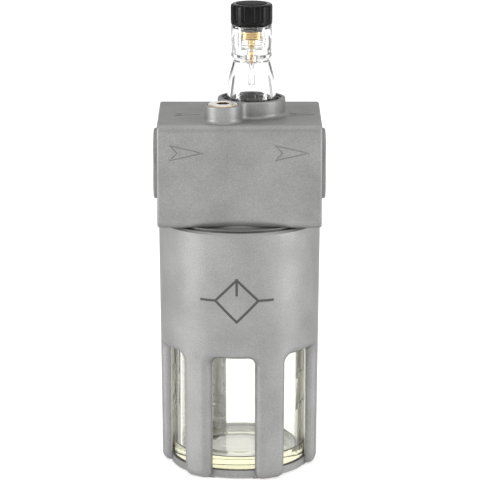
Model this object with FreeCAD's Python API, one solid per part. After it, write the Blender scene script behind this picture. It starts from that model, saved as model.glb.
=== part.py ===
import FreeCAD, Part
import math
import os

# In-line compressed-air lubricator with a screwed metal bowl guard.
# Millimetres. The bowl axis is +Z, the guard's ribs stand on Z = 0, air flows along +X,
# the filler plug is on the front (-Y) side. Heights below are measured from a datum
# plane LIFT above the feet, and save() lifts each node by that much.

os.makedirs("parts", exist_ok=True)
V = FreeCAD.Vector

LIFT = 0.7

# Body casting
BODY_X = 68.0
BODY_Y = 56.0
BODY_Z0 = 107.1
BODY_Z1 = 150.8
BODY_TOP_FILLET = 3.0
BODY_LOW_FILLET = 4.2
BODY_END_FILLET = 1.0
PORT_Z = 129.3
PORT_FACE_X = 36.0
PORT_BOSS_R = 14.85
PORT_THREAD_MINOR_R = 9.3
PORT_THREAD_MAJOR_R = 10.4
PORT_THREAD_PITCH = 1.814
PORT_DEPTH = 15.0
PORT_MOUTH_R = 11.4
PASSAGE_R = 7.6
BOSS_TOP_Z = 157.7
BOSS_BLEND_R = 3.5
DOME_X = 5.0
DOME_BOSS_R = 14.2
DOME_SEAT_R = 12.4
DOME_SEAT_Z = 152.0
FILLER_X = -6.9
FILLER_Y = -17.3
FILLER_BOSS_R = 7.5
NECK_R = 30.92
NECK_RELIEF_R = 29.9
NECK_BORE_R = 26.8
NECK_Z0 = 94.2
NECK_THREAD_Z1 = 105.6
NECK_CEILING_Z = 104.9
SHELF_Z0 = 107.0
SHELF_Z1 = 107.3
ROOT_R = 26.8

# Guard and bowl
GUARD_Z1 = 106.6
GUARD_TOP_R = 34.0
GUARD_FOOT_R = 32.9
GUARD_BORE_R = 29.1
GUARD_THREAD_R = 31.0
GUARD_MOUTH_R = 32.3
GUARD_MOUTH_DEPTH = 1.2
GUARD_LEDGE_Z = 89.0
GUARD_RING_R = 29.0
GUARD_RING_Z0 = -0.2
GUARD_FLOOR_HOLE_R = 21.0
GUARD_FLOOR_Z = 3.0
GUARD_FOOT_FILLET = 3.6
WINDOW_COUNT = 6
WINDOW_TURN = -5.0
WINDOW_HALF_ANGLE = 17.8
WINDOW_TOP_Z = 52.5
WINDOW_CORNER_R = 3.4
WINDOW_RIM_FILLET = 3.2
BOWL_R = 28.2
BOWL_INNER_R = 24.8
BOWL_Z0 = 3.4
BOWL_FLOOR_Z = 8.0
BOWL_FLANGE_R = 30.7
BOWL_FLANGE_Z0 = 90.0
BOWL_FLANGE_Z1 = 93.2
BOWL_RIM_R = 26.6
BOWL_RIM_Z = 101.0

# Sight dome and needle valve
DOME_FLANGE_R = 12.1
DOME_Z0 = 153.6
DOME_TOP_Z = 188.1
DOME_TOP_R = 8.5
DOME_THREAD_R = 4.4
DOME_THREAD_PITCH = 1.0
KNOB_R = 8.7
KNOB_Z0 = 188.5
KNOB_Z1 = 197.1
KNOB_FLUTES = 14

# Siphon line and air jet
SIPHON_X = -9.0
SIPHON_Y = 11.0
SIPHON_R = 3.0
VALVE_R = 3.2
VALVE_Z0 = 13.6
VALVE_Z1 = 22.0
JET_X = -16.0

# Flow throat
THROAT_R = 5.2
THROAT_HALF_LENGTH = 11.0
VANE_X = -4.0
VANE_PIN_Z = PORT_Z + 3.6


def rod(radius, z0, z1, x=0.0, y=0.0):
    """Upright cylinder from z0 to z1."""
    return Part.makeCylinder(radius, z1 - z0, V(x, y, z0))


def rod_x(radius, x0, x1, y=0.0, z=PORT_Z):
    """Cylinder along X."""
    return Part.makeCylinder(radius, x1 - x0, V(x0, y, z), V(1, 0, 0))


def rod_y(radius, y0, y1, x, z):
    """Cylinder along Y."""
    return Part.makeCylinder(radius, y1 - y0, V(x, y0, z), V(0, 1, 0))


def turned(profile, x=0.0, y=0.0):
    """Solid of revolution about the vertical line at x, y from (radius, z) points."""
    points = [V(x + r, y, z) for r, z in profile]
    face = Part.Face(Part.makePolygon(points + [points[0]]))
    return face.revolve(V(x, y, 0), V(0, 0, 1), 360)


def ring(r_mid, wire, z, x=0.0, y=0.0):
    """Torus: an O-ring or a wire ring."""
    return Part.makeTorus(r_mid, wire, V(x, y, z))


def hexagon(across_flats, z0, z1, x=0.0, y=0.0):
    """Upright hexagonal prism."""
    corner = across_flats / math.sqrt(3)
    points = [V(x + corner * math.cos(math.radians(60 * i)),
                y + corner * math.sin(math.radians(60 * i)), z0) for i in range(7)]
    return Part.Face(Part.makePolygon(points)).extrude(V(0, 0, z1 - z0))


def fused(shapes):
    """One clean solid from several."""
    return shapes[0].fuse(shapes[1:]).removeSplitter()


def chosen_edges(shape, test):
    """Edges whose middle point passes the test."""
    picked = []
    for edge in shape.Edges:
        first, last = edge.ParameterRange
        if test(edge.valueAt((first + last) / 2), edge):
            picked.append(edge)
    return picked


def save(name, *solids):
    """Write one node, which is one solid or a group of separate solids."""
    shape = solids[0] if len(solids) == 1 else Part.makeCompound(list(solids))
    assert shape.isValid(), name
    for solid in shape.Solids:
        assert solid.Volume > 0, name
    shape.translate(V(0, 0, LIFT))
    shape.exportStep("parts/" + name + ".step")


def window_angles():
    """Compass angle of each window centre, measured from -Y towards +X."""
    return [WINDOW_TURN + 360.0 / WINDOW_COUNT * i for i in range(WINDOW_COUNT)]


def wedge(r0, r1, z0, z1, centre, half_angle):
    """Sector of a ring, centred on a compass angle."""
    points = [V(r0, 0, z0), V(r1, 0, z0), V(r1, 0, z1), V(r0, 0, z1), V(r0, 0, z0)]
    face = Part.Face(Part.makePolygon(points))
    sector = face.revolve(V(0, 0, 0), V(0, 0, 1), 2 * half_angle)
    sector.rotate(V(0, 0, 0), V(0, 0, 1), centre - 90 - half_angle)
    return sector


# ---- Body casting ----

def dart(x0, plane, length=13.4, half=3.1, notch=2.9, width=0.5, depth=0.3):
    """Cutter for an outline flow arrow pointing along +X, flat in the XY plane at Z = 0."""
    corners = [(x0, half), (x0 + length, 0), (x0, -half), (x0 + notch, 0), (x0, half)]
    strokes = []
    for (xa, ya), (xb, yb) in zip(corners, corners[1:]):
        run = math.hypot(xb - xa, yb - ya)
        bar = Part.makeBox(run + width, width, 2 * depth, V(-width / 2, -width / 2, -depth))
        bar.rotate(V(0, 0, 0), V(0, 0, 1), math.degrees(math.atan2(yb - ya, xb - xa)))
        bar.translate(V(xa, ya, 0))
        strokes.append(bar)
    cutter = fused(strokes)
    if plane == "front":
        cutter.rotate(V(0, 0, 0), V(1, 0, 0), 90)
    return cutter


def body_block():
    """Rounded block with the two port bosses."""
    block = Part.makeBox(BODY_X, BODY_Y, BODY_Z1 - BODY_Z0, V(-BODY_X / 2, -BODY_Y / 2, BODY_Z0))
    top_edges = chosen_edges(block, lambda p, e: abs(p.x) < 1 and p.z > BODY_Z1 - 0.01)
    block = block.makeFillet(BODY_TOP_FILLET, top_edges)
    low_edges = chosen_edges(block, lambda p, e: abs(p.x) < 1 and p.z < BODY_Z0 + 0.01
                             and abs(p.y) > BODY_Y / 2 - 0.01)
    block = block.makeFillet(BODY_LOW_FILLET, low_edges)
    end_edges = chosen_edges(block, lambda p, e: abs(p.x) > BODY_X / 2 - 0.01)
    block = block.makeFillet(BODY_END_FILLET, end_edges)
    bosses = rod_x(PORT_BOSS_R, -PORT_FACE_X, PORT_FACE_X)
    rims = chosen_edges(bosses, lambda p, e: abs(p.x) > PORT_FACE_X - 0.01)
    return fused([block, bosses.makeChamfer(0.5, rims)])


def top_bosses():
    """Dome boss and filler boss run together, their flanks blended by hollow fillets."""
    dome = rod(DOME_BOSS_R, BODY_Z1 - 2, BOSS_TOP_Z, DOME_X)
    filler = rod(FILLER_BOSS_R, BODY_Z1 - 2, BOSS_TOP_Z, FILLER_X, FILLER_Y)
    bosses = fused([dome, filler])
    creases = chosen_edges(bosses, lambda p, e: isinstance(e.Curve, Part.Line)
                           and abs(math.hypot(p.x - DOME_X, p.y) - DOME_BOSS_R) < 0.01
                           and abs(math.hypot(p.x - FILLER_X, p.y - FILLER_Y)
                                   - FILLER_BOSS_R) < 0.01)
    return bosses.makeFillet(BOSS_BLEND_R, creases)


def port_cut(side):
    """Threaded port: minor bore, mouth chamfer and one helical thread groove."""
    floor_x = PORT_FACE_X - PORT_DEPTH
    bore = rod_x(PORT_THREAD_MINOR_R, floor_x, PORT_FACE_X + 1)
    mouth = Part.makeCone(PORT_MOUTH_R, PORT_THREAD_MINOR_R, PORT_MOUTH_R - PORT_THREAD_MINOR_R,
                          V(PORT_FACE_X, 0, PORT_Z), V(-1, 0, 0))
    half = 0.22 * PORT_THREAD_PITCH
    crest = 0.15
    root = PORT_THREAD_MINOR_R - 0.3
    groove = Part.makePolygon([V(root, 0, -half), V(PORT_THREAD_MAJOR_R, 0, -crest),
                               V(PORT_THREAD_MAJOR_R, 0, crest), V(root, 0, half),
                               V(root, 0, -half)])
    thread_length = PORT_DEPTH - 2.0
    helix = Part.makeHelix(PORT_THREAD_PITCH, thread_length, PORT_THREAD_MINOR_R)
    thread = Part.Wire(helix).makePipeShell([groove], True, True)
    thread.rotate(V(0, 0, 0), V(0, 1, 0), 90)
    thread.translate(V(floor_x + 1.6, 0, PORT_Z))
    shape = bore.fuse([mouth, thread])
    if side < 0:
        shape.rotate(V(0, 0, 0), V(0, 0, 1), 180)
    return shape


def body_casting():
    """Head casting: block, bosses and threaded neck, with every bore and engraved arrow."""
    bosses = top_bosses()
    body = fused([body_block(), bosses])
    foot = chosen_edges(body, lambda p, e: abs(p.z - BODY_Z1) < 0.01
                        and math.hypot(p.x, p.y) < 27.5 and abs(p.x) < 24
                        and not isinstance(e.Curve, Part.Line))
    body = body.makeFillet(1.4, foot)
    rim = chosen_edges(body, lambda p, e: abs(p.z - BOSS_TOP_Z) < 0.01)
    body = body.makeFillet(0.7, rim)
    neck = turned([(0, BODY_Z0 + 4), (0, NECK_Z0), (NECK_R - 0.8, NECK_Z0),
                   (NECK_R, NECK_Z0 + 0.8), (NECK_R, NECK_THREAD_Z1),
                   (NECK_RELIEF_R, NECK_THREAD_Z1 + 0.3), (NECK_RELIEF_R, SHELF_Z0),
                   (NECK_R, SHELF_Z0), (NECK_R, SHELF_Z1), (ROOT_R, SHELF_Z1),
                   (ROOT_R, BODY_Z0 + 4)])
    body = fused([body, neck])
    bores = [
        # dome seat with the snap ring groove, drip hole, oil feed
        rod(DOME_SEAT_R, DOME_SEAT_Z, BOSS_TOP_Z + 1, DOME_X),
        rod(13.05, 155.75, 157.05, DOME_X),
        rod(5.0, PORT_Z, DOME_SEAT_Z + 1, DOME_X),
        # filler: counterbore, thread and drop to the bowl
        rod(6.5, 155.2, BOSS_TOP_Z + 1, FILLER_X, FILLER_Y),
        rod(5.0, 146.0, 156.0, FILLER_X, FILLER_Y),
        rod(3.6, NECK_CEILING_Z - 1, 147.0, FILLER_X, FILLER_Y),
        # air way from port to port
        rod_x(PASSAGE_R, -PORT_FACE_X + PORT_DEPTH - 1, PORT_FACE_X - PORT_DEPTH + 1),
        port_cut(1),
        port_cut(-1),
        # hollow of the neck and the pocket of the bowl seal
        rod(NECK_BORE_R, NECK_Z0 - 1, NECK_CEILING_Z),
        rod(29.5, NECK_Z0 - 1, 96.0),
        # siphon fitting seat and bowl air jet
        rod(2.9, NECK_CEILING_Z - 1, 115.0, SIPHON_X, SIPHON_Y),
        rod(2.0, NECK_CEILING_Z - 1, 114.0, JET_X),
        rod(0.8, 113.0, PORT_Z, JET_X),
    ]
    feed_from = V(SIPHON_X, SIPHON_Y, 114.0)
    feed_to = V(DOME_X - 1.0, 9.1, DOME_SEAT_Z + 1)
    bores.append(Part.makeCylinder(0.8, (feed_to - feed_from).Length, feed_from,
                                   feed_to - feed_from))
    for cutter in bores:
        body = body.cut(cutter)
    arrow_z = 139.4
    for x0 in (-28.6, 14.8):
        arrow = dart(x0, "front")
        arrow.translate(V(0, -BODY_Y / 2, arrow_z))
        body = body.cut(arrow)
    for x0 in (-27.0, 20.8):
        arrow = dart(x0, "top", length=10.6, half=2.8)
        arrow.translate(V(0, -4.0, BODY_Z1))
        body = body.cut(arrow)
    return body.removeSplitter()


# ---- Throat: insert, drip seat, damper vane ----

def throat_insert():
    """Plastic sleeve in the air way, belled at both ends, with two O-ring grooves."""
    sleeve = rod_x(PASSAGE_R - 0.05, -THROAT_HALF_LENGTH, THROAT_HALF_LENGTH)
    for x in (-8.6, 8.6):
        groove = rod_x(PASSAGE_R, x - 0.9, x + 0.9).cut(rod_x(6.45, x - 0.9, x + 0.9))
        sleeve = sleeve.cut(groove)
    sleeve = sleeve.cut(rod_x(THROAT_R, -12, 12))
    for side in (-1, 1):
        bell = Part.makeCone(6.4, THROAT_R, 2.2, V(side * THROAT_HALF_LENGTH, 0, PORT_Z),
                             V(-side, 0, 0))
        sleeve = sleeve.cut(bell)
    sleeve = sleeve.cut(rod(3.1, PORT_Z, PORT_Z + 9, DOME_X))
    return sleeve.cut(rod_y(0.5, -6.2, 6.2, VANE_X, VANE_PIN_Z))


def vane():
    """Hinged damper flap: eye on the pin and a blade that fills most of the throat."""
    blade = Part.makeBox(0.5, 6.6, 8.4, V(VANE_X - 0.25, -3.3, VANE_PIN_Z - 8.4))
    blade = blade.common(rod_x(THROAT_R - 0.25, -12, 12))
    eye = rod_y(1.0, -1.9, 1.9, VANE_X, VANE_PIN_Z)
    return fused([blade, eye]).cut(rod_y(0.56, -5, 5, VANE_X, VANE_PIN_Z))


def drip_seat():
    """Funnel under the dome that catches the drops and lets them fall into the throat."""
    return turned([(1.5, 133.6), (2.9, 133.6), (3.0, 137.4), (4.9, 137.4), (4.9, 145.0),
                   (4.1, 145.0), (4.1, 146.9), (4.9, 146.9), (4.9, 152.0), (8.0, 152.0),
                   (8.0, 153.2), (3.8, 153.2), (3.3, 155.6), (2.7, 158.9), (2.0, 159.1),
                   (1.5, 157.6)], DOME_X)


# ---- Dome ----

def sight_dome():
    """Clear dome: flared skirt, shoulder, and a threaded well for the needle's carrier."""
    outer = [V(DOME_X + r, 0, z) for r, z in
             ((10.5, 156.6), (10.15, 160.5), (9.25, 166.8), (7.5, 173.8))]
    skirt = Part.BSplineCurve()
    skirt.interpolate(outer)
    shoulder = Part.Arc(outer[-1], V(DOME_X + 8.25, 0, 174.7), V(DOME_X + DOME_TOP_R, 0, 176.5))
    straight = [V(DOME_X + r, 0, z) for r, z in
                ((DOME_TOP_R, 176.5), (DOME_TOP_R, DOME_TOP_Z - 0.4), (DOME_TOP_R - 0.4, DOME_TOP_Z),
                 (7.75, DOME_TOP_Z), (6.5, 186.7), (5.4, 186.6), (5.4, 185.7),
                 (DOME_THREAD_R, 185.6), (DOME_THREAD_R, 178.6), (3.0, 177.9), (1.3, 177.6),
                 (1.3, 175.8), (1.9, 175.8), (1.9, 173.2), (6.5, 173.2), (6.9, 172.2),
                 (8.3, 156.0), (8.3, DOME_Z0), (DOME_FLANGE_R, DOME_Z0),
                 (DOME_FLANGE_R, 155.6), (10.6, 155.6), (10.5, 156.6))]
    edges = [skirt.toShape(), shoulder.toShape()]
    edges += [Part.makeLine(a, b) for a, b in zip(straight, straight[1:])]
    face = Part.Face(Part.Wire(edges))
    dome = face.revolve(V(DOME_X, 0, 0), V(0, 0, 1), 360)
    for i in range(6):
        z = 179.3 + DOME_THREAD_PITCH * i
        groove = turned([(DOME_THREAD_R - 0.1, z - 0.4), (DOME_THREAD_R + 0.4, z - 0.05),
                         (DOME_THREAD_R + 0.4, z + 0.05), (DOME_THREAD_R - 0.1, z + 0.4)],
                        DOME_X)
        dome = dome.cut(groove)
    return dome


def drip_nozzle():
    """Clear tube pressed up into the dome, with a tapered seat for the needle."""
    return turned([(1.25, 175.7), (1.15, 173.0), (0.5, 168.6), (0.5, 162.6), (1.25, 162.6),
                   (1.5, 163.2), (1.75, 172.5), (3.0, 172.6), (3.0, 173.15), (1.88, 173.15),
                   (1.88, 175.7)], DOME_X)


# ---- Needle valve ----

def knob():
    """Fluted cap with a hole for the needle's head and a sunk crown."""
    body = turned([(0, 186.9), (6.1, 186.9), (6.6, 187.4), (7.0, KNOB_Z0), (8.3, KNOB_Z0),
                   (KNOB_R, KNOB_Z0 + 0.4), (KNOB_R, KNOB_Z1 - 1.3), (8.3, KNOB_Z1 - 0.4),
                   (7.4, KNOB_Z1), (6.3, KNOB_Z1), (6.3, KNOB_Z1 - 0.8), (0, KNOB_Z1 - 0.8)],
                  DOME_X)
    for i in range(KNOB_FLUTES):
        angle = math.radians(360 / KNOB_FLUTES * i + 2.6)
        reach = KNOB_R + 0.35
        x = DOME_X + reach * math.sin(angle)
        y = -reach * math.cos(angle)
        flute = rod(0.95, KNOB_Z0 + 1.9, KNOB_Z1 + 1, x, y)
        body = body.cut(flute)
    return body.cut(rod(1.7, 186.0, 192.0, DOME_X))


def knob_disc():
    """Inset disc of the knob's crown."""
    disc = rod(6.2, KNOB_Z1 - 0.75, KNOB_Z1 + 0.3, DOME_X)
    top = chosen_edges(disc, lambda p, e: p.z > KNOB_Z1 + 0.29)
    return disc.makeFillet(0.3, top)


def needle():
    """Stepped brass rod with a tapered tip."""
    return turned([(0, 191.8), (1.65, 191.8), (1.65, 186.9), (1.5, 186.9), (1.5, 179.4),
                   (0.95, 178.8), (0.95, 174.7), (0.12, 170.1), (0, 170.1)], DOME_X)


def needle_bush():
    """Threaded brass carrier that screws the needle up and down in the dome."""
    crest = DOME_THREAD_R - 0.06
    bush = turned([(1.53, 182.4), (crest - 0.4, 182.4), (crest, 182.8), (crest, 185.4),
                   (3.64, 185.5), (3.64, 186.85), (1.53, 186.85)], DOME_X)
    for i in range(2):
        z = 183.6 + DOME_THREAD_PITCH * i
        groove = turned([(crest - 0.35, z - 0.05), (crest + 0.15, z - 0.38),
                         (crest + 0.15, z + 0.38), (crest - 0.35, z + 0.05)], DOME_X)
        bush = bush.cut(groove)
    return bush


# ---- Filler plug ----

def filler_plug():
    """Flanged plug with a hexagon socket."""
    plug = turned([(0, 147.6), (4.3, 147.6), (4.92, 148.3), (4.92, 156.4), (6.25, 156.4),
                   (6.25, 157.6), (5.75, 158.1), (0, 158.1)], FILLER_X, FILLER_Y)
    return plug.cut(hexagon(5.0, 154.4, 159.0, FILLER_X, FILLER_Y))


# ---- Siphon line ----

def siphon_fitting():
    """Hexagon nipple under the neck's ceiling, with a barb for the tube."""
    nut = hexagon(8.0, NECK_CEILING_Z - 3.8, NECK_CEILING_Z - 0.02, SIPHON_X, SIPHON_Y)
    spigot = rod(2.88, NECK_CEILING_Z - 1.0, 113.6, SIPHON_X, SIPHON_Y)
    barb_z = NECK_CEILING_Z - 3.6
    barb = turned([(0, barb_z), (1.9, barb_z), (1.9, barb_z - 3.5), (1.98, barb_z - 3.9),
                   (1.6, barb_z - 5.5), (0, barb_z - 5.5)], SIPHON_X, SIPHON_Y)
    return fused([nut, spigot, barb]).cut(rod(1.1, barb_z - 6, 115.0, SIPHON_X, SIPHON_Y))


def siphon_tube():
    """Tube from the fitting's barb down to the check valve."""
    top = NECK_CEILING_Z - 4.0
    tube = rod(SIPHON_R, VALVE_Z1 + 0.05, top, SIPHON_X, SIPHON_Y)
    return tube.cut(rod(2.0, VALVE_Z1 - 1, top + 1, SIPHON_X, SIPHON_Y))


def check_valve_housing():
    """Ball chamber with a seat below, and a spigot that goes up into the tube."""
    return turned([(1.2, VALVE_Z0), (VALVE_R, VALVE_Z0), (VALVE_R, VALVE_Z1), (1.96, VALVE_Z1),
                   (1.96, VALVE_Z1 + 3.6), (1.1, VALVE_Z1 + 3.6), (1.1, 20.4), (2.35, 19.8),
                   (2.35, 16.6), (1.2, 15.2)], SIPHON_X, SIPHON_Y)


def check_ball():
    return Part.makeSphere(1.95, V(SIPHON_X, SIPHON_Y, 16.86))


def strainer():
    """Porous cup on the end of the siphon line."""
    cup = turned([(0, 10.2), (VALVE_R - 0.5, 10.2), (VALVE_R, 10.7), (VALVE_R, VALVE_Z0 - 0.05),
                  (0, VALVE_Z0 - 0.05)], SIPHON_X, SIPHON_Y)
    return cup.cut(rod(2.0, 11.4, VALVE_Z0 + 1, SIPHON_X, SIPHON_Y))


def air_jet():
    """Slotted brass jet that lets line pressure into the bowl."""
    head_z = NECK_CEILING_Z - 1.5
    jet = fused([rod(1.98, head_z + 0.5, 113.2, JET_X),
                 rod(3.2, head_z, NECK_CEILING_Z - 0.02, JET_X)])
    jet = jet.cut(rod(0.5, head_z - 1, 114.0, JET_X))
    return jet.cut(Part.makeBox(8, 0.8, 1.0, V(JET_X - 4, -0.4, head_z - 0.4)))


# ---- Bowl and guard ----

def bowl():
    """Clear bowl: thick flat floor with a raised ring, top flange, raised level marks."""
    edge = 0.4
    ring_in, ring_out, ring_rise, ring_slope = 12.2, 17.8, 0.3, 2.2
    cup = turned([(0, BOWL_Z0), (BOWL_R - edge, BOWL_Z0), (BOWL_R, BOWL_Z0 + edge),
                  (BOWL_R, BOWL_FLANGE_Z0), (BOWL_FLANGE_R, BOWL_FLANGE_Z0),
                  (BOWL_FLANGE_R, BOWL_FLANGE_Z1), (BOWL_RIM_R, BOWL_FLANGE_Z1),
                  (BOWL_RIM_R, BOWL_RIM_Z - 0.6), (BOWL_RIM_R - 0.6, BOWL_RIM_Z),
                  (BOWL_INNER_R, BOWL_RIM_Z), (BOWL_INNER_R, BOWL_FLOOR_Z + 1.0),
                  (BOWL_INNER_R - 1.0, BOWL_FLOOR_Z), (ring_out + ring_slope, BOWL_FLOOR_Z),
                  (ring_out, BOWL_FLOOR_Z + ring_rise), (ring_in, BOWL_FLOOR_Z + ring_rise),
                  (ring_in - ring_slope, BOWL_FLOOR_Z), (0, BOWL_FLOOR_Z)])
    marks = []
    for centre in (67.0, -83.0):
        for z in (25.6, 39.2):
            marks.append(wedge(BOWL_R - 0.2, BOWL_R + 0.2, z, z + 2.6, centre, 7.5))
    return fused([cup] + marks)


def on_window_rim(p, edge):
    """True for the outer edges of a window, down each side and round the rib's foot."""
    first, last = edge.ParameterRange
    a = edge.valueAt(first)
    b = edge.valueAt(last)
    turns_in = abs(math.hypot(a.x, a.y) - math.hypot(b.x, b.y)) > 0.3 and abs(a.z - b.z) > 0.5
    on_skin = math.hypot(p.x, p.y) > GUARD_BORE_R + 0.4 and p.z < WINDOW_TOP_Z + 0.1
    return on_skin and edge.Length < 60 and (p.z > GUARD_FOOT_FILLET or turns_in)


def guard():
    """Tapered tube with six windows, foot ring, floor lip and threaded top."""
    foot_z = -LIFT
    rim = 0.9
    shell = turned([(GUARD_FLOOR_HOLE_R, GUARD_RING_Z0), (GUARD_RING_R - 0.6, GUARD_RING_Z0),
                    (GUARD_RING_R - 0.1, foot_z), (GUARD_FOOT_R, foot_z),
                    (GUARD_TOP_R, GUARD_Z1 - rim), (GUARD_TOP_R - rim, GUARD_Z1),
                    (GUARD_MOUTH_R, GUARD_Z1), (GUARD_MOUTH_R, GUARD_Z1 - GUARD_MOUTH_DEPTH),
                    (GUARD_THREAD_R, GUARD_Z1 - GUARD_MOUTH_DEPTH - 0.6),
                    (GUARD_THREAD_R, GUARD_LEDGE_Z), (GUARD_BORE_R, GUARD_LEDGE_Z),
                    (GUARD_BORE_R, GUARD_FLOOR_Z), (GUARD_FLOOR_HOLE_R, GUARD_FLOOR_Z)])
    foot = chosen_edges(shell, lambda p, e: isinstance(e.Curve, Part.Circle)
                        and abs(e.Curve.Radius - GUARD_FOOT_R) < 0.01)
    shell = shell.makeFillet(GUARD_FOOT_FILLET, foot)
    for centre in window_angles():
        window = wedge(24, 38, GUARD_FLOOR_Z, WINDOW_TOP_Z, centre, WINDOW_HALF_ANGLE)
        top_corners = chosen_edges(window, lambda p, e: abs(p.z - WINDOW_TOP_Z) < 0.01
                                   and isinstance(e.Curve, Part.Line))
        window = window.makeFillet(WINDOW_CORNER_R, top_corners)
        recess = wedge(GUARD_RING_R, 38, -2, GUARD_FLOOR_Z + 1, centre, WINDOW_HALF_ANGLE)
        shell = shell.cut(fused([window, recess]))
    shell = shell.makeFillet(WINDOW_RIM_FILLET, chosen_edges(shell, on_window_rim))
    for centre in window_angles():
        shell = shell.cut(wedge(28, 38, -2, GUARD_RING_Z0, centre, WINDOW_HALF_ANGLE - 1.5))
    return shell


def main():
    save("body_casting", body_casting())
    save("throat_insert", throat_insert())
    save("throat_orings", *[Part.makeTorus(7.03, 0.52, V(x, 0, PORT_Z), V(1, 0, 0))
                            for x in (-8.6, 8.6)])
    save("damper_vane", vane())
    save("vane_pin", rod_y(0.48, -6.0, 6.0, VANE_X, VANE_PIN_Z))
    save("drip_seat", drip_seat())
    save("drip_seat_oring", ring(4.52, 0.42, 145.95, DOME_X))
    save("sight_dome", sight_dome())
    save("drip_nozzle", drip_nozzle())
    save("dome_oring", ring(10.6, 0.78, 152.8, DOME_X))
    save("dome_snap_ring", ring(12.3, 0.6, 156.4, DOME_X))
    save("knob", knob())
    save("knob_disc", knob_disc())
    save("needle", needle())
    save("needle_bush", needle_bush())
    save("needle_oring", ring(4.55, 0.5, 186.3, DOME_X))
    save("filler_plug", filler_plug())
    save("filler_plug_oring", ring(5.6, 0.58, 155.8, FILLER_X, FILLER_Y))
    save("siphon_fitting", siphon_fitting())
    save("siphon_tube", siphon_tube())
    save("check_valve_housing", check_valve_housing())
    save("check_ball", check_ball())
    save("strainer", strainer())
    save("air_jet", air_jet())
    save("bowl", bowl())
    save("bowl_oring", ring(28.08, 1.35, 94.6))
    save("guard_washer", rod(30.6, GUARD_LEDGE_Z + 0.02, 89.9).cut(rod(28.4, 88, 91)))
    save("guard", guard())


main()
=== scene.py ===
import math

import bmesh
import bpy
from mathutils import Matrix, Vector


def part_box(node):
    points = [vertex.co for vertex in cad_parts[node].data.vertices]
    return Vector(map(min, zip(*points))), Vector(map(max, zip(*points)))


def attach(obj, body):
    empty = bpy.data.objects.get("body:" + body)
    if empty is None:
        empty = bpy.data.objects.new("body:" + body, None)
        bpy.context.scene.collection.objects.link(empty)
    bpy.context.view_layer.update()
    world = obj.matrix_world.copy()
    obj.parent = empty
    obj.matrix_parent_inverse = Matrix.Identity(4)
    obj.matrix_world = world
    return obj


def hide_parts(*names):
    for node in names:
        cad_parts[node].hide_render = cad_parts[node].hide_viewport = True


# Looks of an in-line compressed-air lubricator: painted casting and guard, clear bowl and sight dome,
# brass needle, black knob, plated filler plug. The scene is in metres, the outlines below in millimetres,
# with heights from a datum plane that lies LIFT above the guard's feet.

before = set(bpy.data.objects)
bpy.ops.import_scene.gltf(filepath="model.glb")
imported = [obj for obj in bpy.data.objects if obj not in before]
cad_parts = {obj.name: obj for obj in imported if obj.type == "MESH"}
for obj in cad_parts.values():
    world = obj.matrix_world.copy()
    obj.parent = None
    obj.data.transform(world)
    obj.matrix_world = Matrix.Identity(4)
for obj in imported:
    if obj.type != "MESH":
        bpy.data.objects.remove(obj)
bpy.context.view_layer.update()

MM = 0.001
LIFT = 0.7
STEPS = 192
SHARP_ANGLE = math.radians(32)

# Dome and needle valve
DOME_X = 5.0
DOME_TOP_Z = 188.1
DOME_R = 8.5
DOME_THREAD_R = 4.4
DOME_THREAD_PITCH = 1.0
DOME_GROOVES = 4
DOME_GROOVE_Z = 179.3
DOME_GROOVE_DEPTH = 0.14
DOME_GROOVE_HALF = 0.38
CARRIER_GROOVES = 2
CARRIER_GROOVE_Z = 183.6
CARRIER_GROOVE_DEPTH = 0.35
CARRIER_GROOVE_HALF = 0.36
DOME_INNER_R = 8.3
DOME_FLANGE_R = 12.1
DOME_Z0 = 153.6
DOME_SEAL_R = 10.6
SNAP_RING_R = 12.3
NEEDLE_BORE_R = 1.53
KNOB_R = 8.7
KNOB_Z0 = 188.5
KNOB_Z1 = 197.1
KNOB_FLUTES = 14
FLUTE_HALF_WIDTH = 0.88
FLUTE_DEPTH = 0.62
FLUTE_MIN_R = 7.2
KNOB_TURN = math.radians(2.6)

# Bowl, siphon tube and guard
BOWL_R = 28.2
BOWL_INNER_R = 24.8
BOWL_Z0 = 3.4
BOWL_FLOOR_Z = 8.0
BOWL_RING_RISE = 0.3
BOWL_FLANGE_R = 30.7
BOWL_FLANGE_Z0 = 90.0
BOWL_FLANGE_Z1 = 93.2
BOWL_RIM_R = 26.6
BOWL_RIM_Z = 101.0
MARK_ANGLES = (67.0, -83.0)
MARK_HALF_ANGLE = 7.5
MARK_ROWS = ((25.6, 28.2), (39.2, 41.8))
MARK_RISE = 0.2
SIPHON_X = -9.0
SIPHON_Y = 11.0
SIPHON_R = 3.0
SIPHON_BORE_R = 2.0
GUARD_BORE_R = 29.1
GUARD_FLOOR_Z = 3.0
GUARD_FOOT_R = 32.9
GUARD_TOP_R = 34.0
GUARD_Z1 = 106.6

# Camera and studio, in metres and watts
LENS_MM = 213.75
SENSOR_MM = 36
CAMERA_DISTANCE = 1.206
CAMERA_TILT = math.radians(13.55)
CAMERA_AIM = (0.0002, 0, 0.096 + LIFT * MM)
FLOOR_SIZE = 30
CARD_SIZE = (0.22, 0.3)
LEFT_CARD = (-0.34, 0.22, 0.22)
RIGHT_CARD = (0.34, 0.22, 0.22)
BOX_SIZE = (0.3, 1.1)
LEFT_BOX = (-1.36, -0.50, 0.36)
RIGHT_BOX = (1.36, -0.48, 0.36)
LEFT_WATTS = 18
RIGHT_WATTS = 15
LAMP_AIM = (0, 0, 0.1)

# Strength of the room light by direction
WORLD_TOP = 1.35
WORLD_BACK = 1.0
WORLD_FRONT = 0.6
WORLD_SIDE = 0.35


# ---- Outlines and meshes ----

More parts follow.
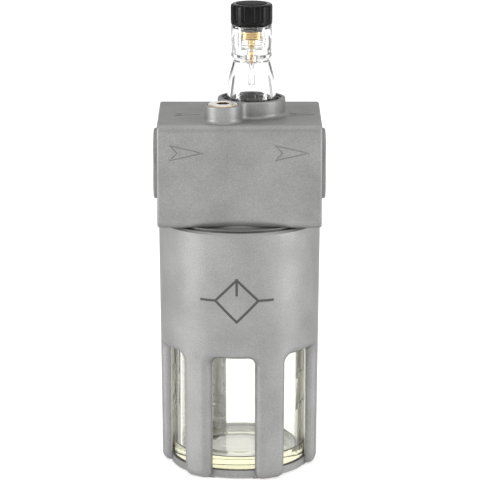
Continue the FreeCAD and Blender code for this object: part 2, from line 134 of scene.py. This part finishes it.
def rounded(outline, steps=5, margin=0.12):
    """Closed outline of (radius, z, corner radius), with each corner turned into an arc.
    A point just outside each end of an arc keeps the shading of the straight runs true."""
    points = []
    for i, (r, z, corner) in enumerate(outline):
        here = Vector((r, z))
        if corner <= 0:
            points.append(here)
            continue
        back = Vector(outline[i - 1][:2]) - here
        ahead = Vector(outline[(i + 1) % len(outline)][:2]) - here
        half = back.angle(ahead) / 2
        limit = 0.49 * min(back.length, ahead.length)
        reach = min(corner / math.tan(half), limit)
        radius = reach * math.tan(half)
        centre = here + (back.normalized() + ahead.normalized()).normalized() * reach / math.cos(half)
        start = here + back.normalized() * reach - centre
        end = here + ahead.normalized() * reach - centre
        first = math.atan2(start.y, start.x)
        turn = (math.atan2(end.y, end.x) - first + math.pi) % math.tau - math.pi
        outer = min(reach + margin, limit)
        if outer > reach + 0.01:
            points.append(here + back.normalized() * outer)
        for k in range(steps + 1):
            angle = first + turn * k / steps
            points.append(centre + radius * Vector((math.cos(angle), math.sin(angle))))
        if outer > reach + 0.01:
            points.append(here + ahead.normalized() * outer)
    return points


def curved(points, steps=6):
    """Smooth run through (radius, z) points, as outline entries."""
    run = [Vector(p) for p in points]
    padded = [2 * run[0] - run[1]] + run + [2 * run[-1] - run[-2]]
    result = []
    for a, b, c, d in zip(padded, padded[1:], padded[2:], padded[3:]):
        for k in range(steps):
            t = k / steps
            p = 0.5 * (2 * b + (c - a) * t + (2 * a - 5 * b + 4 * c - d) * t * t
                       + (3 * b - a - 3 * c + d) * t ** 3)
            result.append((p.x, p.y, 0))
    result.append((run[-1].x, run[-1].y, 0))
    return result


def finished(name, verts, faces):
    """Object from vertices and faces, outward normals, smooth except at sharp edges."""
    mesh = bpy.data.meshes.new(name)
    mesh.from_pydata([(x * MM, y * MM, (z + LIFT) * MM) for x, y, z in verts], [], faces)
    bm = bmesh.new()
    bm.from_mesh(mesh)
    bmesh.ops.remove_doubles(bm, verts=bm.verts, dist=1e-7)
    bmesh.ops.recalc_face_normals(bm, faces=bm.faces)
    smooth(bm)
    bm.to_mesh(mesh)
    bm.free()
    obj = bpy.data.objects.new(name, mesh)
    bpy.context.scene.collection.objects.link(obj)
    return obj


def smooth(bm):
    """Soft shading everywhere but at the sharp edges."""
    for face in bm.faces:
        face.smooth = True
    for edge in bm.edges:
        edge.smooth = len(edge.link_faces) == 2 and edge.calc_face_angle(0) < SHARP_ANGLE


def lathe(name, outline, x=0.0, y=0.0, steps=STEPS, shape=None):
    """Turned piece about the upright line at x, y. shape(radius, z, angle) may change a point's radius."""
    verts = []
    faces = []
    count = len(outline)
    for i in range(steps):
        angle = math.tau * i / steps
        for p in outline:
            radius = shape(p.x, p.y, angle) if shape else p.x
            verts.append((x + radius * math.sin(angle), y - radius * math.cos(angle), p.y))
    for i in range(steps):
        j = (i + 1) % steps
        for k in range(count):
            m = (k + 1) % count
            if outline[k].x < 1e-6 and outline[m].x < 1e-6:
                continue
            corners = [i * count + k, j * count + k, j * count + m, i * count + m]
            if outline[k].x < 1e-6:
                corners = [i * count + k, j * count + m, i * count + m]
            elif outline[m].x < 1e-6:
                corners = [i * count + k, j * count + k, i * count + m]
            faces.append(corners)
    return finished(name, verts, faces)


def wire_ring(name, ring_r, wire_r, z, x, gap=0.0, steps=160, around=20):
    """Round wire bent to a ring about the upright line at x, closed or with a gap at the back."""
    verts = []
    faces = []
    rows = steps + 1 if gap else steps
    for i in range(rows):
        angle = math.pi + math.radians(gap) / 2 + (math.tau - math.radians(gap)) * i / steps
        for k in range(around):
            turn = math.tau * k / around
            radius = ring_r + wire_r * math.cos(turn)
            verts.append((x + radius * math.sin(angle), -radius * math.cos(angle),
                          z + wire_r * math.sin(turn)))
    for i in range(steps):
        j = (i + 1) % rows
        for k in range(around):
            m = (k + 1) % around
            faces.append([i * around + k, i * around + m, j * around + m, j * around + k])
    if gap:
        faces.append(list(range(around)))
        faces.append([steps * around + k for k in reversed(range(around))])
    return finished(name, verts, faces)


# ---- Materials ----

class Shader:
    """A material with one Principled surface, and short ways to drive it with textures."""

    def __init__(self, name, colour, metallic=0.0, roughness=0.5, ior=1.5, transmission=0.0):
        self.material = bpy.data.materials.new(name)
        self.material.use_nodes = True
        self.nodes = self.material.node_tree.nodes
        self.links = self.material.node_tree.links
        self.nodes.clear()
        self.out = self.nodes.new("ShaderNodeOutputMaterial")
        self.surface = self.nodes.new("ShaderNodeBsdfPrincipled")
        self.links.new(self.surface.outputs[0], self.out.inputs["Surface"])
        self.surface.inputs["Base Color"].default_value = (*colour, 1)
        self.surface.inputs["Metallic"].default_value = metallic
        self.surface.inputs["Roughness"].default_value = roughness
        self.surface.inputs["IOR"].default_value = ior
        self.surface.inputs["Transmission Weight"].default_value = transmission
        self.place = self.nodes.new("ShaderNodeTexCoord").outputs["Object"]
        self.normal = None

    def noise(self, scale, detail=3.0, rough=0.5):
        """Cloudy pattern, scale in features a metre."""
        node = self.nodes.new("ShaderNodeTexNoise")
        node.inputs["Scale"].default_value = scale
        node.inputs["Detail"].default_value = detail
        node.inputs["Roughness"].default_value = rough
        self.links.new(self.place, node.inputs["Vector"])
        return node.outputs["Fac"]

    def cells(self, scale):
        """Distance from the middle of each of many packed cells."""
        node = self.nodes.new("ShaderNodeTexVoronoi")
        node.inputs["Scale"].default_value = scale
        self.links.new(self.place, node.inputs["Vector"])
        return node.outputs["Distance"]

    def rings(self, per_metre, distortion):
        """Even bands up the height, a little wavy."""
        node = self.nodes.new("ShaderNodeTexWave")
        node.wave_type = "BANDS"
        node.bands_direction = "Z"
        node.inputs["Scale"].default_value = per_metre
        node.inputs["Distortion"].default_value = distortion
        self.links.new(self.place, node.inputs["Vector"])
        return node.outputs["Fac"]

    def span(self, value, low, high, from_low=0.0, from_high=1.0):
        """A value moved from one range to another."""
        node = self.nodes.new("ShaderNodeMapRange")
        for socket, number in zip(("From Min", "From Max", "To Min", "To Max"),
                                  (from_low, from_high, low, high)):
            node.inputs[socket].default_value = number
        self.links.new(value, node.inputs["Value"])
        return node.outputs["Result"]

    def blend(self, factor, one, two):
        """Colour between two, each a colour or a socket."""
        node = self.nodes.new("ShaderNodeMix")
        node.data_type = "RGBA"
        self.links.new(factor, node.inputs["Factor"])
        for socket, colour in ((node.inputs["A"], one), (node.inputs["B"], two)):
            if isinstance(colour, tuple):
                socket.default_value = (*colour, 1)
            else:
                self.links.new(colour, socket)
        return node.outputs["Result"]

    def times(self, one, two):
        """Product of two colour sockets."""
        node = self.nodes.new("ShaderNodeMix")
        node.data_type = "RGBA"
        node.blend_type = "MULTIPLY"
        node.inputs["Factor"].default_value = 1
        self.links.new(one, node.inputs["A"])
        self.links.new(two, node.inputs["B"])
        return node.outputs["Result"]

    def inside(self, radius_mm, above_mm):
        """1 on surfaces nearer the upright axis than a radius and above a height, else 0."""
        flat = self.nodes.new("ShaderNodeVectorMath")
        flat.operation = "MULTIPLY"
        flat.inputs[1].default_value = (1, 1, 0)
        self.links.new(self.place, flat.inputs[0])
        reach = self.nodes.new("ShaderNodeVectorMath")
        reach.operation = "LENGTH"
        self.links.new(flat.outputs[0], reach.inputs[0])
        near = self.span(reach.outputs["Value"], 1, 0, radius_mm * MM, (radius_mm + 0.2) * MM)
        parts = self.nodes.new("ShaderNodeSeparateXYZ")
        self.links.new(self.place, parts.inputs[0])
        above = self.span(parts.outputs["Z"], 0, 1, above_mm * MM, (above_mm + 0.5) * MM)
        both = self.nodes.new("ShaderNodeMath")
        both.operation = "MULTIPLY"
        self.links.new(near, both.inputs[0])
        self.links.new(above, both.inputs[1])
        return both.outputs[0]

    def colour(self, value):
        """Drive the base colour."""
        self.links.new(value, self.surface.inputs["Base Color"])

    def roughness(self, value):
        """Drive the roughness."""
        self.links.new(value, self.surface.inputs["Roughness"])

    def bump(self, height, depth_mm, strength=1.0):
        """Lay one more relief on the surface."""
        node = self.nodes.new("ShaderNodeBump")
        node.inputs["Strength"].default_value = strength
        node.inputs["Distance"].default_value = depth_mm * MM
        self.links.new(height, node.inputs["Height"])
        if self.normal is not None:
            self.links.new(self.normal, node.inputs["Normal"])
        self.normal = node.outputs["Normal"]
        self.links.new(self.normal, self.surface.inputs["Normal"])

    def absorb(self, colour, density):
        """Tint that grows with the thickness of the piece."""
        node = self.nodes.new("ShaderNodeVolumeAbsorption")
        node.inputs["Color"].default_value = (*colour, 1)
        node.inputs["Density"].default_value = density
        self.links.new(node.outputs[0], self.out.inputs["Volume"])


def cast_paint(name, level, rough, bore_r=0.0):
    """Satin silver-grey metallic paint on a fine cast skin, turning a lighter, banded colour in the bore
    if asked.
    """
    s = Shader(name, (level, level, level * 0.985), metallic=0.62)
    s.surface.inputs["Specular IOR Level"].default_value = 0.3
    s.surface.inputs["Specular Tint"].default_value = (0.4, 0.4, 0.4, 1)
    dark = (level * 0.9, level * 0.9, level * 0.885)
    light = (level * 1.1, level * 1.1, level * 1.085)
    flakes = s.noise(2300, 2, 0.6)
    grains = s.noise(1300, 4, 0.6)
    patches = s.blend(s.span(s.noise(60, 2), 0, 1, 0.3, 0.7), dark, light)
    speckled = s.blend(s.span(flakes, 0, 1, 0.35, 0.65), (0.80, 0.80, 0.80), (1.0, 1.0, 1.0))
    paint = s.times(patches, speckled)
    if bore_r > 0:
        # In the bore the colour turns lighter, with even bands up the height.
        bore_colour = s.blend(s.rings(900, 0.4), (0.80, 0.78, 0.70), (0.90, 0.88, 0.80))
        paint = s.blend(s.inside(bore_r, LIFT + GUARD_FLOOR_Z + 0.4), paint, bore_colour)
    s.colour(paint)
    s.roughness(s.span(grains, rough - 0.06, rough + 0.06, 0.3, 0.7))
    s.bump(s.noise(420, 2), 0.06, 0.35)
    s.bump(grains, 0.035, 0.7)
    return s.material


def clear_plastic(name, tint, absorb_colour, density, rough=0.015):
    """Clear polycarbonate, faintly wavy, with a tint in thick sections."""
    s = Shader(name, tint, roughness=rough, ior=1.58, transmission=1.0)
    s.roughness(s.span(s.noise(260, 3), rough * 0.6, rough * 1.8, 0.3, 0.7))
    s.bump(s.noise(70, 2), 0.012, 0.25)
    s.absorb(absorb_colour, density)
    return s.material


def nylon():
    """Milky natural nylon of the siphon tube."""
    s = Shader("nylon_natural", (0.86, 0.86, 0.82), roughness=0.3, ior=1.53, transmission=0.75)
    s.roughness(s.span(s.noise(300, 3), 0.22, 0.4, 0.3, 0.7))
    s.bump(s.noise(500, 3), 0.01, 0.4)
    return s.material


def moulded(name, level, rough=0.38, grain_mm=0.02, gloss=0.13):
    """Moulded plastic with a fine spark-eroded grain."""
    s = Shader(name, (level, level, level), roughness=rough)
    s.surface.inputs["Specular IOR Level"].default_value = gloss
    grains = s.noise(2600, 3, 0.6)
    s.colour(s.blend(s.span(s.noise(140, 3), 0, 1, 0.3, 0.7), (level * 0.8,) * 3, (level * 1.3,) * 3))
    s.roughness(s.span(grains, rough - 0.07, rough + 0.12, 0.3, 0.7))
    s.bump(grains, grain_mm, 0.5)
    return s.material


def turned_metal(name, colour, rough=0.22, per_metre=1400):
    """Turned metal: fine tool rings and slight tarnish."""
    s = Shader(name, colour, metallic=1.0, roughness=rough)
    dull = tuple(c * 0.78 for c in colour)
    s.colour(s.blend(s.span(s.noise(400, 4), 0, 1, 0.35, 0.75), colour, dull))
    rings = s.rings(per_metre, 0.6)
    s.roughness(s.span(s.noise(900, 3), rough * 0.8, rough * 1.5, 0.3, 0.7))
    s.bump(rings, 0.01, 0.35)
    return s.material


def plated_plug(axis, top_z):
    """Bright nickel on the flat of the plug, brass showing at its bevel and in the socket."""
    s = Shader("nickel_on_brass", (0.62, 0.60, 0.56), metallic=1.0, roughness=0.26)
    offset = s.nodes.new("ShaderNodeVectorMath")
    offset.operation = "SUBTRACT"
    offset.inputs[1].default_value = (axis[0], axis[1], top_z)
    s.links.new(s.place, offset.inputs[0])
    parts = s.nodes.new("ShaderNodeSeparateXYZ")
    s.links.new(offset.outputs[0], parts.inputs[0])
    depth = s.span(parts.outputs["Z"], 1, 0, -0.35 * MM, -0.05 * MM)
    worn = s.nodes.new("ShaderNodeMath")
    worn.operation = "MULTIPLY"
    s.links.new(depth, worn.inputs[0])
    s.links.new(s.span(s.noise(700, 3), 0.6, 1.2, 0.3, 0.7), worn.inputs[1])
    s.colour(s.blend(worn.outputs[0], (0.66, 0.64, 0.59), (0.50, 0.34, 0.13)))
    s.roughness(s.span(s.noise(1200, 4), 0.2, 0.34, 0.3, 0.7))
    s.bump(s.noise(1800, 3), 0.01, 0.3)
    return s.material


def rubber():
    """Dull black nitrile rubber of the seals."""
    s = Shader("nitrile_rubber", (0.018, 0.018, 0.018), roughness=0.45)
    s.colour(s.blend(s.noise(500, 3), (0.012, 0.012, 0.012), (0.03, 0.03, 0.03)))
    s.roughness(s.span(s.noise(900, 3), 0.35, 0.6, 0.3, 0.7))
    s.bump(s.noise(2400, 2), 0.008, 0.4)
    return s.material


def porous_plastic():
    """Sintered polyethylene of the strainer: fused grains, with painted shade darkening the pores between
    them.
    """
    s = Shader("porous_polyethylene", (0.6, 0.61, 0.58), roughness=0.7)
    bead_relief_and_shade = s.cells(2600)
    # Painted shade: the colour darkens from the middle of each bead to the pores at its edge.
    s.colour(s.blend(s.span(bead_relief_and_shade, 0, 1, 0.1, 0.6), (0.66, 0.67, 0.64), (0.3, 0.3, 0.29)))
    s.roughness(s.span(bead_relief_and_shade, 0.55, 0.85, 0.1, 0.6))
    s.bump(bead_relief_and_shade, -0.12, 0.9)
    return s.material


def ink():
    """Dark printing ink."""
    s = Shader("print_ink", (0.045, 0.045, 0.047), roughness=0.42)
    s.colour(s.blend(s.noise(1600, 3), (0.035, 0.035, 0.037), (0.065, 0.065, 0.067)))
    s.roughness(s.span(s.noise(1200, 2), 0.36, 0.52, 0.3, 0.7))
    return s.material


def paper_white():
    """Translucent white table, softly lit from below."""
    s = Shader("floor_white", (0.65, 0.65, 0.65), roughness=0.9)
    s.colour(s.blend(s.noise(3, 2), (0.64, 0.64, 0.64), (0.66, 0.66, 0.66)))
    s.surface.inputs["Emission Color"].default_value = (1, 1, 1, 1)
    s.surface.inputs["Emission Strength"].default_value = 0.5
    s.surface.inputs["Specular IOR Level"].default_value = 0.1
    return s.material


# ---- Pieces ----

def clear_bowl():
    """Thick-floored bowl with a low ring on its floor and raised level marks on two sides."""
    wall = []
    for low, high in MARK_ROWS:
        wall += [(BOWL_R, low - 0.12, 0), (BOWL_R, low + 0.1, 0), (BOWL_R, high - 0.1, 0),
                 (BOWL_R, high + 0.12, 0)]
    outline = [(0, BOWL_Z0, 0), (BOWL_R, BOWL_Z0, 0.35)] + wall
    outline += [(BOWL_R, BOWL_FLANGE_Z0, 0.4), (BOWL_FLANGE_R, BOWL_FLANGE_Z0, 0.3),
                (BOWL_FLANGE_R, BOWL_FLANGE_Z1, 0.3), (BOWL_RIM_R, BOWL_FLANGE_Z1, 0.3),
                (BOWL_RIM_R, BOWL_RIM_Z, 0.6), (BOWL_INNER_R, BOWL_RIM_Z, 0.3),
                (BOWL_INNER_R, BOWL_FLOOR_Z, 0.8), (20.0, BOWL_FLOOR_Z, 4.0),
                (17.8, BOWL_FLOOR_Z + BOWL_RING_RISE, 4.0),
                (12.2, BOWL_FLOOR_Z + BOWL_RING_RISE, 4.0),
                (10.0, BOWL_FLOOR_Z, 4.0), (0, BOWL_FLOOR_Z, 0)]

    def marks(radius, z, angle):
        """Radius of the outer wall, a little larger on the level marks."""
        if radius < BOWL_R - 0.01 or not any(low < z < high for low, high in MARK_ROWS):
            return radius
        for centre in MARK_ANGLES:
            away = abs((math.degrees(angle) - centre + 180) % 360 - 180)
            if away < MARK_HALF_ANGLE:
                return radius + MARK_RISE
        return radius

    return lathe("bowl_clear", rounded(outline), steps=240, shape=marks)


def clear_dome():
    """Sight dome: flange, flared skirt, shoulder, threaded upper cylinder with a funnel mouth."""
    outline = [(10.6, 155.6, 0.2)]
    outline += curved([(10.5, 156.6), (10.15, 160.5), (9.25, 166.8), (7.5, 173.8)])
    outline += [(DOME_R, 174.9, 0.9), (DOME_R, DOME_TOP_Z, 0.4), (7.75, DOME_TOP_Z, 0.15),
                (6.5, 186.7, 0.2), (5.4, 186.6, 0.15), (5.4, 185.7, 0.1), (DOME_THREAD_R, 185.6, 0.15)]
    for i in reversed(range(DOME_GROOVES)):
        z = DOME_GROOVE_Z + DOME_THREAD_PITCH * i
        outline += [(DOME_THREAD_R, z + DOME_GROOVE_HALF, 0), (DOME_THREAD_R + DOME_GROOVE_DEPTH, z, 0.1),
                    (DOME_THREAD_R, z - DOME_GROOVE_HALF, 0)]
    outline += [(DOME_THREAD_R, 178.6, 0.2), (3.0, 177.9, 0.2), (1.3, 177.6, 0.2), (1.3, 175.8, 0),
                (1.9, 175.8, 0), (1.9, 173.2, 0.1), (6.4, 173.2, 0.8), (DOME_INNER_R, 156.0, 0.4),
                (DOME_INNER_R, DOME_Z0, 0.2), (DOME_FLANGE_R, DOME_Z0, 0.2), (DOME_FLANGE_R, 155.6, 0.3)]
    return lathe("dome_clear", rounded(outline, 4), DOME_X)


def clear_nozzle():
    """Tapered drip tube with a collar, hung in the dome."""
    outline = [(1.25, 175.7, 0.05), (1.15, 173.0, 0.3), (0.5, 168.6, 0.5), (0.5, 162.6, 0.1),
               (1.25, 162.6, 0.15), (1.5, 163.2, 0.3), (1.75, 172.5, 0.3), (3.0, 172.6, 0.1),
               (3.0, 173.15, 0.05), (1.88, 173.15, 0), (1.88, 175.7, 0.05)]
    return lathe("nozzle_clear", rounded(outline, 3), DOME_X, steps=64)


def fluted_knob():
    """Knob with half-round flutes that stop above a plain band."""
    outline = [(0, 186.9, 0), (6.1, 186.9, 0.3), (6.6, 187.4, 0.3), (7.0, KNOB_Z0, 0.1),
               (KNOB_R, KNOB_Z0, 0.45)]
    outline += [(KNOB_R, KNOB_Z0 + 1.5 + 0.15 * i, 0) for i in range(8)]
    outline += [(KNOB_R, KNOB_Z1, 1.1), (6.45, KNOB_Z1 - 0.05, 0.25), (6.3, KNOB_Z1 - 0.8, 0.05),
                (0, KNOB_Z1 - 0.8, 0)]

    def flutes(radius, z, angle):
        """Radius of the knob's side, cut back in the flutes and full in the band below them."""
        period = math.tau / KNOB_FLUTES
        away = abs((angle - KNOB_TURN + period / 2) % period - period / 2) * KNOB_R
        if away > FLUTE_HALF_WIDTH or radius < FLUTE_MIN_R:
            return radius
        depth = FLUTE_DEPTH * math.sqrt(1 - (away / FLUTE_HALF_WIDTH) ** 2)
        rise = min(max((z - KNOB_Z0 - 1.6) / 0.9, 0), 1)
        return min(radius, KNOB_R - depth * math.sqrt(1 - (1 - rise) ** 2))

    return lathe("knob_fluted", rounded(outline, 6), DOME_X, steps=KNOB_FLUTES * 28, shape=flutes)


def knob_crown():
    """Slightly domed disc set in the knob's top."""
    outline = [(0, KNOB_Z1 - 0.75, 0), (6.2, KNOB_Z1 - 0.75, 0), (6.2, KNOB_Z1 + 0.16, 0.25)]
    outline += curved([(5.9, KNOB_Z1 + 0.2), (3.0, KNOB_Z1 + 0.28), (0, KNOB_Z1 + 0.3)], 4)
    return lathe("knob_crown", rounded(outline, 4), DOME_X)


def brass_needle():
    """Stepped needle with a tapered tip."""
    outline = [(0, 191.8, 0), (1.65, 191.8, 0.1), (1.65, 186.9, 0), (1.5, 186.9, 0), (1.5, 179.4, 0.15),
               (0.95, 178.8, 0.15), (0.95, 174.7, 0.5), (0.12, 170.1, 0.05), (0, 170.1, 0)]
    return lathe("needle_brass", rounded(outline, 4), DOME_X, steps=64)


def brass_carrier():
    """Carrier of the needle: grooved collar that fits the dome's thread, and a plain shank above."""
    crest = DOME_THREAD_R - 0.06
    outline = [(NEEDLE_BORE_R, 182.4, 0), (crest - 0.4, 182.4, 0.15), (crest, 182.8, 0)]
    for i in range(CARRIER_GROOVES):
        z = CARRIER_GROOVE_Z + DOME_THREAD_PITCH * i
        outline += [(crest, z - CARRIER_GROOVE_HALF, 0), (crest - CARRIER_GROOVE_DEPTH, z, 0.06),
                    (crest, z + CARRIER_GROOVE_HALF, 0)]
    outline += [(crest, 185.4, 0.1), (3.64, 185.5, 0.1), (3.64, 186.85, 0.1),
                (NEEDLE_BORE_R, 186.85, 0)]
    return lathe("needle_carrier", rounded(outline, 3), DOME_X, steps=96)


def siphon_pipe():
    low, high = 22.05, 100.9
    outline = [(SIPHON_R, low, 0.1), (SIPHON_R, high, 0.1), (SIPHON_BORE_R, high, 0.1),
               (SIPHON_BORE_R, low, 0.1)]
    return lathe("siphon_pipe", rounded(outline, 3), SIPHON_X, SIPHON_Y, steps=72)


def guard_print():
    """Generic lubricator symbol printed on the guard: a diamond with a drip line and flow lines."""
    size = 9.0
    width = 1.05
    centre_z = 78.0
    turned = math.radians(-2)
    inner_skin, outer_skin = 0.012, 0.035
    strokes = [((-size, 0), (0, size)), ((0, size), (size, 0)), ((size, 0), (0, -size)),
               ((0, -size), (-size, 0)), ((0, size), (0, size * 0.3)),
               ((-size * 1.7, 0), (-size, 0)), ((size, 0), (size * 1.7, 0))]
    verts = []
    faces = []
    for start, end in strokes:
        a = Vector(start)
        b = Vector(end)
        along = (b - a).normalized()
        a -= along * width / 2
        b += along * width / 2
        across = Vector((-along.y, along.x)) * width / 2
        pieces = 10
        for k in range(pieces + 1):
            spot = a.lerp(b, k / pieces)
            for side in (-1, 1):
                p = spot + across * side
                radius = GUARD_FOOT_R + (GUARD_TOP_R - GUARD_FOOT_R) * (centre_z + p.y) / GUARD_Z1
                for skin in (inner_skin, outer_skin):
                    angle = p.x / radius + turned
                    reach = radius + skin
                    verts.append((reach * math.sin(angle), -reach * math.cos(angle), centre_z + p.y))
        base = len(verts) - 4 * (pieces + 1)
        faces.append([base, base + 1, base + 3, base + 2])
        for k in range(pieces):
            n = base + 4 * k
            for i, j in ((0, 1), (1, 3), (3, 2), (2, 0)):
                faces.append([n + i, n + j, n + 4 + j, n + 4 + i])
        n = base + 4 * pieces
        faces.append([n, n + 2, n + 3, n + 1])
    return finished("guard_print", verts, faces)


# ---- Assembly of the looks ----

def dress(material, *objects):
    """Give every slot of each object the material."""
    for obj in objects:
        if not obj.data.materials:
            obj.data.materials.append(material)
        for slot in obj.material_slots:
            slot.material = material


def keep(node):
    """A CAD node that stays, shaded smooth except at its sharp edges."""
    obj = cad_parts[node]
    bm = bmesh.new()
    bm.from_mesh(obj.data)
    smooth(bm)
    bm.to_mesh(obj.data)
    bm.free()
    return obj


def stand_for(piece, node, body):
    """Let a piece take the place of a CAD node and move with its body."""
    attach(piece, body)
    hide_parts(node)
    return piece


def build():
    """Dress the nodes that stay and add the pieces that take the place of the others."""
    paint = cast_paint("cast_paint", level=0.305, rough=0.48)
    guard_paint = cast_paint("guard_paint", level=0.32, rough=0.4, bore_r=GUARD_BORE_R + 0.1)
    pc_bowl = clear_plastic("clear_bowl_pc", (1.0, 1.0, 0.985), (0.96, 0.94, 0.55), density=18.0)
    pc_dome = clear_plastic("clear_dome_pc", (1.0, 1.0, 1.0), (0.93, 0.93, 0.90), density=6.0)
    black = moulded("black_acetal", level=0.0045, rough=0.28)
    crown_black = moulded("crown_acetal", level=0.006, rough=0.5, grain_mm=0.03, gloss=0.05)
    white = moulded("white_acetal", level=0.72)
    brass = turned_metal("turned_brass", (0.80, 0.56, 0.24))
    steel = turned_metal("ground_steel", (0.56, 0.56, 0.57), rough=0.2, per_metre=2000)
    spring = turned_metal("spring_wire", (0.16, 0.16, 0.16), rough=0.3, per_metre=2400)
    nbr = rubber()

    dress(paint, keep("body_casting"))
    dress(guard_paint, keep("guard"))
    plug_low, plug_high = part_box("filler_plug")
    dress(plated_plug((plug_low + plug_high) / 2, plug_high.z), keep("filler_plug"))
    for node in ("throat_insert", "drip_seat"):
        dress(black, keep(node))
    for node in ("throat_orings", "drip_seat_oring", "needle_oring", "filler_plug_oring", "bowl_oring"):
        dress(nbr, keep(node))
    for node in ("damper_vane", "siphon_fitting", "air_jet"):
        dress(brass, keep(node))
    for node in ("vane_pin", "check_ball"):
        dress(steel, keep(node))
    milky = nylon()
    dress(milky, keep("check_valve_housing"))
    dress(porous_plastic(), keep("strainer"))
    dress(white, keep("guard_washer"))

    dress(pc_bowl, stand_for(clear_bowl(), "bowl", "bowl_set"))
    dress(pc_dome, stand_for(clear_dome(), "sight_dome", "head"))
    dress(pc_dome, stand_for(clear_nozzle(), "drip_nozzle", "head"))
    dress(black, stand_for(fluted_knob(), "knob", "needle_valve"))
    dress(crown_black, stand_for(knob_crown(), "knob_disc", "needle_valve"))
    dress(brass, stand_for(brass_needle(), "needle", "needle_valve"))
    dress(brass, stand_for(brass_carrier(), "needle_bush", "needle_valve"))
    dress(milky, stand_for(siphon_pipe(), "siphon_tube", "head"))
    dome_seal = wire_ring("dome_seal", DOME_SEAL_R, wire_r=0.78, z=152.8, x=DOME_X)
    dress(nbr, stand_for(dome_seal, "dome_oring", "head"))
    snap_ring = wire_ring("snap_ring", SNAP_RING_R, wire_r=0.6, z=156.4, x=DOME_X, gap=14)
    dress(spring, stand_for(snap_ring, "dome_snap_ring", "head"))
    print_mark = guard_print()
    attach(print_mark, "guard_sleeve")
    dress(ink(), print_mark)


# ---- Studio ----

def floor():
    """Wide white table under the object."""
    bpy.ops.mesh.primitive_plane_add(size=FLOOR_SIZE)
    plane = bpy.context.object
    plane.name = "floor"
    dress(paper_white(), plane)


def card(name, place, level):
    """Dark card behind and beside the object, which gives the clear pieces their dark edges.
    It stands outside the picture, and cameras at other angles look through it."""
    bpy.ops.mesh.primitive_plane_add(size=1)
    plane = bpy.context.object
    plane.name = name
    plane.scale = (*CARD_SIZE, 1)
    plane.location = place
    toward = Vector((0, 0, place[2])) - Vector(place)
    plane.rotation_euler = toward.to_track_quat("Z", "Y").to_euler()
    plane.visible_camera = False
    shade = Shader(name + "_shade", (level, level, level), roughness=0.9)
    shade.colour(shade.blend(shade.noise(4, 2), (level * 0.9,) * 3, (level * 1.1,) * 3))
    dress(shade.material, plane)


def softbox(name, place, watts):
    """Tall rectangular lamp turned to the middle of the object."""
    light = bpy.data.lights.new(name, "AREA")
    light.shape = "RECTANGLE"
    light.size, light.size_y = BOX_SIZE
    light.energy = watts
    lamp = bpy.data.objects.new(name, light)
    lamp.location = place
    lamp.rotation_euler = (Vector(LAMP_AIM) - Vector(place)).to_track_quat("-Z", "Y").to_euler()
    bpy.context.scene.collection.objects.link(lamp)


def room():
    """Light from the room by direction: white behind and above, dim in front and at the sides."""
    world = bpy.data.worlds.new("studio_world")
    bpy.context.scene.world = world
    world.use_nodes = True
    nodes = world.node_tree.nodes
    links = world.node_tree.links
    parts = nodes.new("ShaderNodeSeparateXYZ")
    links.new(nodes.new("ShaderNodeTexCoord").outputs["Generated"], parts.inputs[0])

    def ramp(value, start, end, low, high):
        """Smooth step of a value from low to high between start and end."""
        node = nodes.new("ShaderNodeMapRange")
        node.interpolation_type = "SMOOTHSTEP"
        for socket, number in zip(("From Min", "From Max", "To Min", "To Max"), (start, end, low, high)):
            node.inputs[socket].default_value = number
        links.new(value, node.inputs["Value"])
        return node.outputs["Result"]

    def maths(operation, *values):
        """One arithmetic node fed by the given sockets."""
        node = nodes.new("ShaderNodeMath")
        node.operation = operation
        for socket, value in zip(node.inputs, values):
            links.new(value, socket)
        return node.outputs[0]

    sideways = maths("ABSOLUTE", parts.outputs["X"])
    side = ramp(sideways, 0.5, 0.95, WORLD_BACK, WORLD_SIDE)
    front = ramp(parts.outputs["Y"], -0.9, 0.2, WORLD_FRONT, WORLD_BACK)
    above = ramp(parts.outputs["Z"], 0.45, 0.85, 0, WORLD_TOP)
    level = maths("MAXIMUM", maths("MINIMUM", side, front), above)
    links.new(level, nodes["Background"].inputs["Strength"])
    nodes["Background"].inputs["Color"].default_value = (1, 1, 1, 1)


def studio():
    """Table, cards, lamps and room light."""
    floor()
    card("left_card", LEFT_CARD, level=0.12)
    card("right_card", RIGHT_CARD, level=0.4)
    softbox("left_box", LEFT_BOX, LEFT_WATTS)
    softbox("right_box", RIGHT_BOX, RIGHT_WATTS)
    room()
    bpy.context.scene.view_settings.view_transform = "Standard"


def camera():
    """Long lens from the front, looking down a little at the middle of the object."""
    data = bpy.data.cameras.new("camera")
    data.sensor_width = SENSOR_MM
    data.lens = LENS_MM
    eye = bpy.data.objects.new("camera", data)
    back = Vector((0, -math.cos(CAMERA_TILT), math.sin(CAMERA_TILT)))
    eye.location = Vector(CAMERA_AIM) + CAMERA_DISTANCE * back
    eye.rotation_euler = (math.pi / 2 - CAMERA_TILT, 0, 0)
    bpy.context.scene.collection.objects.link(eye)
    bpy.context.scene.camera = eye


build()
studio()
camera()
